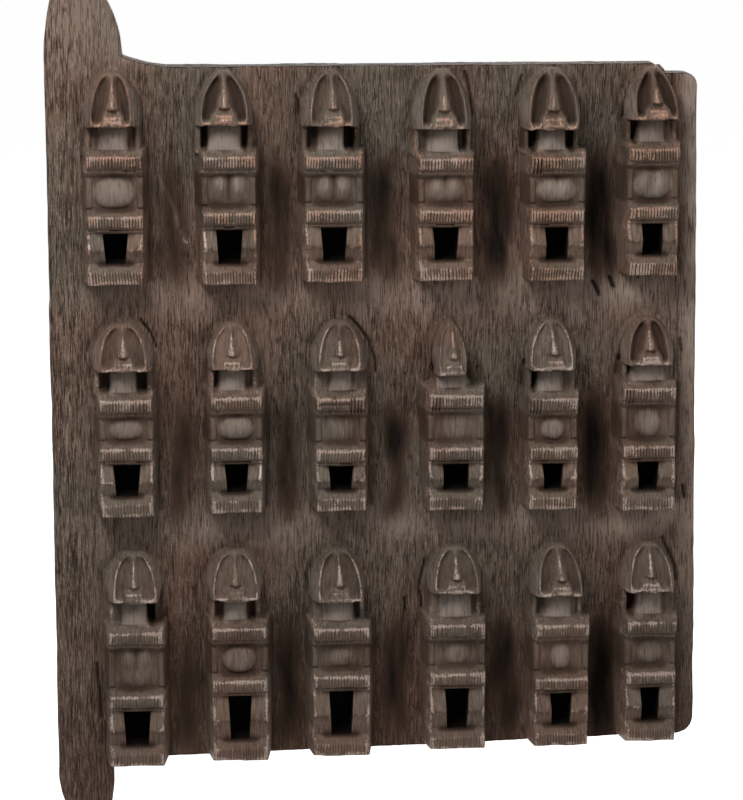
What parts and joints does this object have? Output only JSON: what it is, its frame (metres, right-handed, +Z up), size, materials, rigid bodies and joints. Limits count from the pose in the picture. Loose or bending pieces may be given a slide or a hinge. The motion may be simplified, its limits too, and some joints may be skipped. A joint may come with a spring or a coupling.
{
  "type": "dogon granary door",
  "caption": "Carved wooden granary door: a thick weathered plank with rows of deep-relief ancestor figures under pointed hoods, hung on integral pivots above and below its left stile.",
  "frame": {"origin": "on the pivot axis, half-way along the lower pivot's journal", "axes": "+Z up along the pivot axis, +X from the pivot stile towards the free edge, +Y from the carved face towards the back"},
  "size_m": [0.5231, 0.0554, 0.746],
  "materials": {
    "plank_wood": "weathered, open vertical grain, dull",
    "figure_wood": "hand-carved, edges polished by handling"
  },
  "bodies": {
    "root": {"plank": "plank_wood", "upper_pivot": "plank_wood", "lower_pivot": "plank_wood", "figure_r1_c1": "figure_wood", "figure_r1_c2": "figure_wood", "figure_r1_c3": "figure_wood", "figure_r1_c4": "figure_wood", "figure_r1_c5": "figure_wood", "figure_r1_c6": "figure_wood", "figure_r2_c1": "figure_wood", "figure_r2_c2": "figure_wood", "figure_r2_c3": "figure_wood", "figure_r2_c4": "figure_wood", "figure_r2_c5": "figure_wood", "figure_r2_c6": "figure_wood", "figure_r3_c1": "figure_wood", "figure_r3_c2": "figure_wood", "figure_r3_c3": "figure_wood", "figure_r3_c4": "figure_wood", "figure_r3_c5": "figure_wood", "figure_r3_c6": "figure_wood"}
  },
  "joints": []
}
